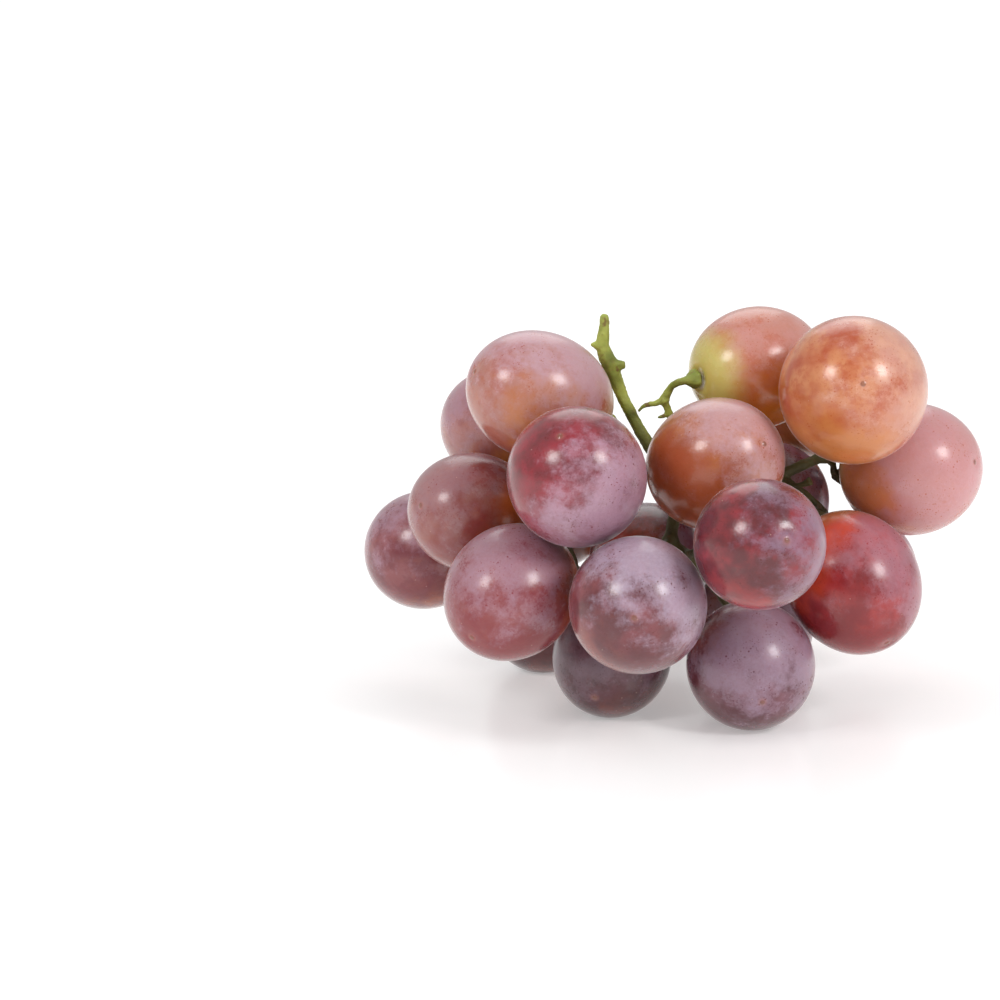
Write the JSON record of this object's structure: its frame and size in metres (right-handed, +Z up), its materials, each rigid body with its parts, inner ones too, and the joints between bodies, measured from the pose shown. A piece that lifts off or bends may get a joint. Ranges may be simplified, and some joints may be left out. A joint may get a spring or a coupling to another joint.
{
  "type": "bunch of grapes",
  "caption": "Loose bunch of large red table grapes lying on its side, egg-shaped berries on a branching green stem with a bare stalk standing up.",
  "frame": {"origin": "middle of the bunch's bounding box, on the table it lies on", "axes": "+Z up, +X along the longest extent of the bunch, +Y away from its pictured front"},
  "size_m": [0.1238, 0.1112, 0.0785],
  "materials": {
    "skin_amber": "semi-gloss skin with a thin waxy bloom",
    "skin_rose": "semi-gloss skin with a pale waxy bloom",
    "skin_crimson": "semi-gloss skin with patches of waxy bloom",
    "skin_plum": "satin skin under a heavy waxy bloom",
    "stem": "fibrous green stem with brown nodes"
  },
  "bodies": {
    "root": {"berry_top_left": "skin_rose", "berry_left_rear": "skin_rose", "berry_left": "skin_rose", "berry_left_low": "skin_plum", "berry_front_left": "skin_crimson", "berry_front_middle": "skin_plum", "berry_foot_left": "skin_plum", "berry_foot_front": "skin_plum", "berry_front_right": "skin_crimson", "berry_right_low": "skin_crimson", "berry_top_right": "skin_amber", "berry_right": "skin_rose", "berry_top_middle": "skin_amber", "berry_middle": "skin_amber", "berry_far_left": "skin_plum", "berry_foot_rear_left": "skin_plum", "berry_core": "skin_crimson", "berry_inner_right": "skin_crimson", "berry_foot_rear_right": "skin_plum", "berry_rear_left": "skin_crimson", "berry_rear_middle": "skin_rose", "berry_rear_right": "skin_amber", "berry_rear_right_low": "skin_rose", "berry_rear_right_end": "skin_rose", "berry_rear_low": "skin_plum", "stem": "stem"}
  },
  "joints": []
}
